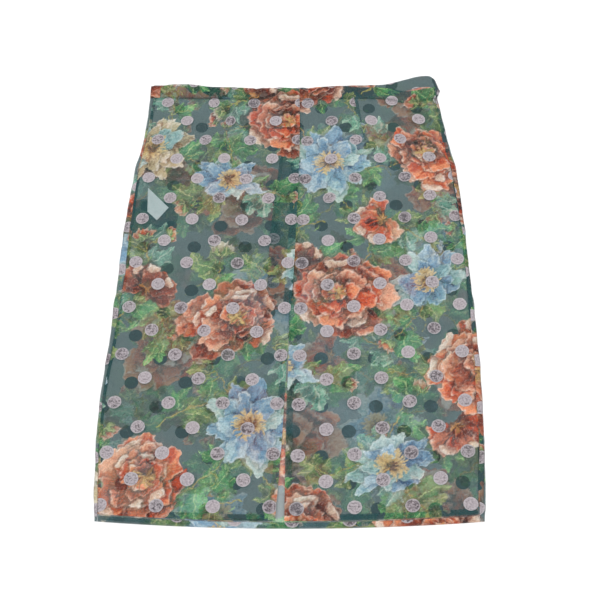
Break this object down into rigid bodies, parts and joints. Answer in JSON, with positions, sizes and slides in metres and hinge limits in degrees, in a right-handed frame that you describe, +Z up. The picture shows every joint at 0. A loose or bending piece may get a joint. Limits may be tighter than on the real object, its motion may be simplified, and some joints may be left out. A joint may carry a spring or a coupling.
{
  "type": "wrap skirt",
  "caption": "Sheer printed knee-length wrap skirt laid flat, with a narrow front lap that opens into a slit, a narrow waistband and turned hems.",
  "frame": {"origin": "middle of the laid skirt's outline, on the surface it lies on", "axes": "+X across the skirt to the viewer's right, +Y from the hem towards the waist, +Z up out of the surface"},
  "size_m": [0.4526, 0.6458, 0.0049],
  "materials": {
    "printed_cloth": "sheer, printed with flowers and raised dots",
    "waistband_cloth": "the same printed cloth, folded double",
    "label_cloth": "smooth white tape"
  },
  "bodies": {
    "root": {"back": "printed_cloth", "front_left": "printed_cloth", "front_right": "printed_cloth", "lap_strip": "printed_cloth", "slit_facing_left": "printed_cloth", "slit_facing_right": "printed_cloth", "hem_front_left": "printed_cloth", "hem_front_right": "printed_cloth", "hem_back": "printed_cloth", "waistband_front_left": "waistband_cloth", "waistband_front_right": "waistband_cloth", "waistband_back": "waistband_cloth", "care_label": "label_cloth"}
  },
  "joints": []
}
